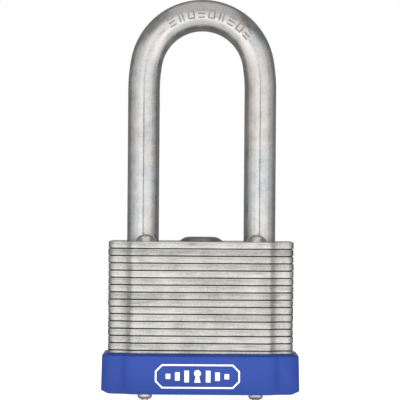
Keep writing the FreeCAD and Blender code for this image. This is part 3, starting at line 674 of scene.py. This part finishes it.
def makeShackle():
    look = shackleLook
    radius, leg = look["radius"], -legX
    archTop = shackleHigh[2] - radius
    archBase = archTop - leg - look["archExtra"]
    crownRadius = leg - look["tightness"]
    crown = Vector((0, 0, archTop - crownRadius))
    h = leg + look["archExtra"]
    flank = (leg ** 2 + (h - crownRadius) ** 2 - crownRadius ** 2) / (2 * (leg - crownRadius))
    swing = math.atan2(crown.z - archBase, flank - leg)
    shoulder = caseTop - 7 * plateThickness + 0.1 * mm
    toe = caseTop - 5 * plateThickness - 0.1 * mm - look["toeLip"]
    clipLow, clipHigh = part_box("shackle_clip")[0][2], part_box("shackle_clip")[1][2]
    bm = bmesh.new()
    bmesh.ops.create_circle(bm, cap_ends=True, segments=look["sides"],
                            radius=look["neck"] - 0.4 * mm,
                            matrix=Matrix.Translation((-leg, 0, shackleLow[2])))
    edges = bm.edges[:]
    middle = Vector((-leg, 0, 0))

    def stretch(edges, rise, size):
        made = bmesh.ops.extrude_edge_only(bm, edges=edges)["geom"]
        verts = [g for g in made if isinstance(g, bmesh.types.BMVert)]
        now = (verts[0].co - middle).xy.length
        for v in verts:
            v.co.z += rise
        centre = Matrix.Translation(-middle)
        bmesh.ops.scale(bm, vec=(size / now, size / now, 1), space=centre, verts=verts)
        return [g for g in made if isinstance(g, bmesh.types.BMEdge)]

    z = shackleLow[2]
    for height, size in ((0.4 * mm, look["neck"]), (clipLow - z - 0.4 * mm, look["neck"]),
                         (0, look["groove"]), (clipHigh - clipLow, look["groove"]),
                         (0, look["neck"]), (shoulder - clipHigh, look["neck"]),
                         (0, radius - 0.3 * mm), (0.3 * mm, radius)):
        edges = stretch(edges, height, size)
    straight = archBase - shoulder - 0.3 * mm
    for _ in range(12):
        edges = stretch(edges, straight / 12, radius)
    verts = lambda es: list({v for e in es for v in e.verts})
    bends = [(Vector((flank - leg, 0, archBase)), swing, 16), (crown, math.pi - 2 * swing, 72),
             (Vector((leg - flank, 0, archBase)), swing, 16)]
    for centre, angle, steps in bends:
        made = bmesh.ops.spin(bm, geom=edges + verts(edges), cent=centre, axis=(0, 1, 0), angle=angle,
                              steps=steps)["geom_last"]
        edges = [g for g in made if isinstance(g, bmesh.types.BMEdge)]
    middle = Vector((leg, 0, 0))
    for _ in range(12):
        edges = stretch(edges, (toe + 0.8 * mm - archBase) / 12, radius)
    edges = stretch(edges, -0.35 * mm, radius - 0.12 * mm)
    edges = stretch(edges, -0.45 * mm, radius - 0.8 * mm)
    bmesh.ops.edgeloop_fill(bm, edges=edges)
    bmesh.ops.remove_doubles(bm, verts=bm.verts, dist=1e-7)
    piece = finishPiece("bentShackle", bm, materials["rod"], "shackle_body", ("shackle",),
                        40)
    notches = bmesh.new()
    inner, outer = leg - radius - mm, leg - radius + look["notchDepth"]
    foot = caseTop - 5 * plateThickness - 0.1 * mm
    head = caseTop - 2 * plateThickness + 0.1 * mm
    wide = look["notchWidth"]
    addBlock(notches, (inner, -wide, foot), (outer, wide, head))
    addBlock(notches, (-outer, -wide, foot), (-inner, wide, head))
    marks = bmesh.new()
    deep = look["markDepth"] * 2
    for step, kind in enumerate(stamps["row"]):
        angle = math.radians(stamps["start"] - step * stamps["turn"])
        spot = crown + Vector((math.cos(angle), 0, math.sin(angle))) * (crownRadius + stamps["outward"])
        spot.y = -radius
        place = Matrix.Translation(spot) @ Matrix.Rotation(math.pi / 2 - angle, 4, "Y")
        for across, up, wide, tall in stamps[kind]:
            size = Matrix.Diagonal((wide * mm, deep, tall * mm, 1))
            shape = Matrix.Translation((across * mm, 0, up * mm)) @ size
            bmesh.ops.create_cube(marks, size=1, matrix=place @ shape)
    carve(piece, [notches, marks])
    smoothBy(piece.data, 30)
    mapRod(piece, crown, crownRadius, flank, leg, archBase, swing)
    piece.data.materials.append(materials["stamped"])
    # faces deeper than the set depth inside the stamped marks take the darker stamped colour
    for face in piece.data.polygons:
        spot = face.center
        depth = radius - math.hypot(math.hypot(spot.x, spot.z - crown.z) - crownRadius, spot.y)
        if spot.z > crown.z and depth > look["darkFloorDepth"]:
            face.material_index = 1


def mapRod(piece, crown, crownRadius, flank, leg, archBase, swing):
    # unrolls the rod: first number round it, second along it
    layer = piece.data.uv_layers.new(name="rod")
    for loop in piece.data.loops:
        p = piece.data.vertices[loop.vertex_index].co
        across, rise = abs(p.x), p.z - archBase
        lean = math.atan2(rise, across - (leg - flank))
        if rise < 0:
            side = across - leg
        elif lean < swing:
            side = math.hypot(across - (leg - flank), rise) - flank
        else:
            side = math.hypot(across, p.z - crown.z) - crownRadius
        turn = p.z if rise < 0 else archBase + leg * math.atan2(rise, across)
        along = turn if p.x < 0 else 2 * archBase + math.pi * leg - turn
        layer.data[loop.index].uv = (math.atan2(p.y, side) * shackleLook["radius"], along)


makeShackle()
print("shackle made")


kept = {"brass": ["cylinder_housing", "chamber_cap", "cam"] + [f"key_pin_{i}" for i in range(1, 6)]
        + [f"driver_pin_{i}" for i in range(1, 6)],
        "plug": ["plug"], "latch": ["latch_left", "latch_right"],
        "wire": ["plug_clip", "shackle_clip", "shackle_spring", "latch_spring_front",
                 "latch_spring_back"]}
for finish, names in kept.items():
    for name in names:
        piece = nodes[name]
        piece.data.materials.clear()
        piece.data.materials.append(materials[finish])


def makePinSpring(index):
    # rebuilds the pin spring from the frame's mesh, with doubled vertices merged, on a mesh of its own
    name = f"pin_spring_{index}"
    bm = bmesh.new()
    bm.from_mesh(nodes[name].data)
    bmesh.ops.remove_doubles(bm, verts=bm.verts, dist=1e-7)
    piece = finishPiece(f"coiledPinSpring{index}", bm, materials["wire"], "case", (name,))
    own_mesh(piece)


for index in range(1, 6):
    makePinSpring(index)
print("springs made")


# each panel stands on an arc behind the camera: bearings in degrees, then how bright it looks
panels = [
    ("leftSidePanel", -100, -62, 0.46),
    ("leftFarPanel", -62, -28, 0.9),
    ("leftNearPanel", -28, -2, 1.38),
    ("rightNearPanel", 2, 34, 1.12),
    ("rightFarPanel", 34, 62, 0.96),
    ("rightSidePanel", 62, 100, 0.39),
]
# the others: place, size, what they face, how bright they look
otherPanels = [
    ("frontTopPanel", (0.0, -0.5, 0.74), (0.9, 0.62), (0.0, 0.0, 0.05), 0.6),
    ("overheadPanel", (0.0, 0.06, 0.9), (0.9, 0.6), (0.0, 0.02, 0.0), 0.6),
    ("backPanel", (0.0, 0.9, 0.15), (0.4, 0.24), (0.0, 0.0, 0.05), 1.0),
    ("bounceCard", (0.0, -0.32, 0.002), (0.8, 0.58), (0.0, -0.32, 1.0), 0.85),
]
lighting = {"distance": 0.85, "tall": 0.9, "height": 0.1, "fill": 0.27, "floorGlow": 0.9}


def makeStage():
    bm = bmesh.new()
    bmesh.ops.create_circle(bm, cap_ends=True, segments=96, radius=0.6)
    mesh = bpy.data.meshes.new("floor")
    bm.to_mesh(mesh)
    bm.free()
    floor = bpy.data.objects.new("floor", mesh)
    bpy.context.scene.collection.objects.link(floor)
    material, tree, shader = newMaterial("paleFloor")
    shader.inputs["Base Color"].default_value = linearColour("F4F4F4")
    shader.inputs["Roughness"].default_value = 0.8
    shader.inputs["Emission Color"].default_value = grey(1.0)
    shader.inputs["Emission Strength"].default_value = lighting["floorGlow"]
    mesh.materials.append(material)
    floor.visible_glossy = False
    world = bpy.data.worlds.new("studio")
    bpy.context.scene.world = world
    world.use_nodes = True
    tree = world.node_tree
    tree.nodes.clear()
    fill = addNode(tree, "ShaderNodeBackground", {"Color": grey(1.0), "Strength": lighting["fill"]})
    white = addNode(tree, "ShaderNodeBackground", {"Color": grey(1.0), "Strength": 1.0})
    seen = addNode(tree, "ShaderNodeLightPath")
    mix = addNode(tree, "ShaderNodeMixShader")
    tree.links.new(seen.outputs["Is Camera Ray"], mix.inputs[0])
    tree.links.new(fill.outputs[0], mix.inputs[1])
    tree.links.new(white.outputs[0], mix.inputs[2])
    out = addNode(tree, "ShaderNodeOutputWorld")
    tree.links.new(mix.outputs[0], out.inputs[0])


def addPanel(name, place, size, target, radiance):
    light = bpy.data.lights.new(name, "AREA")
    light.shape = "RECTANGLE"
    light.size, light.size_y = size
    light.energy = radiance * math.pi * size[0] * size[1]
    lamp = bpy.data.objects.new(name, light)
    lamp.location = place
    aim = Vector(target) - Vector(place)
    lamp.rotation_euler = aim.to_track_quat("-Z", "Y").to_euler()
    lamp.visible_camera = False
    bpy.context.scene.collection.objects.link(lamp)


def makeLights():
    for name, start, end, radiance in panels:
        middle, half = math.radians((start + end) / 2), math.radians((end - start) / 2)
        reach = lighting["distance"]
        place = (reach * math.sin(middle), -reach * math.cos(middle), lighting["height"])
        addPanel(name, place, (2 * reach * math.tan(half), lighting["tall"]), (0, 0, 0.05), radiance)
    for panel in otherPanels:
        addPanel(*panel)

view = {"lens": 250.1, "place": (-0.000365, -0.7, 0.05016), "tilt": 90, "roll": -0.4}


def makeCamera():
    camera = bpy.data.cameras.new("camera")
    camera.lens = view["lens"]
    camera.sensor_width = 36
    camera.clip_start = 0.01
    rig = bpy.data.objects.new("camera", camera)
    rig.location = view["place"]
    rig.rotation_euler = (math.radians(view["tilt"]), math.radians(view["roll"]), 0)
    bpy.context.scene.collection.objects.link(rig)
    bpy.context.scene.camera = rig
    bpy.context.scene.view_settings.view_transform = "Standard"


makeStage()
makeLights()
makeCamera()
print("stage made")
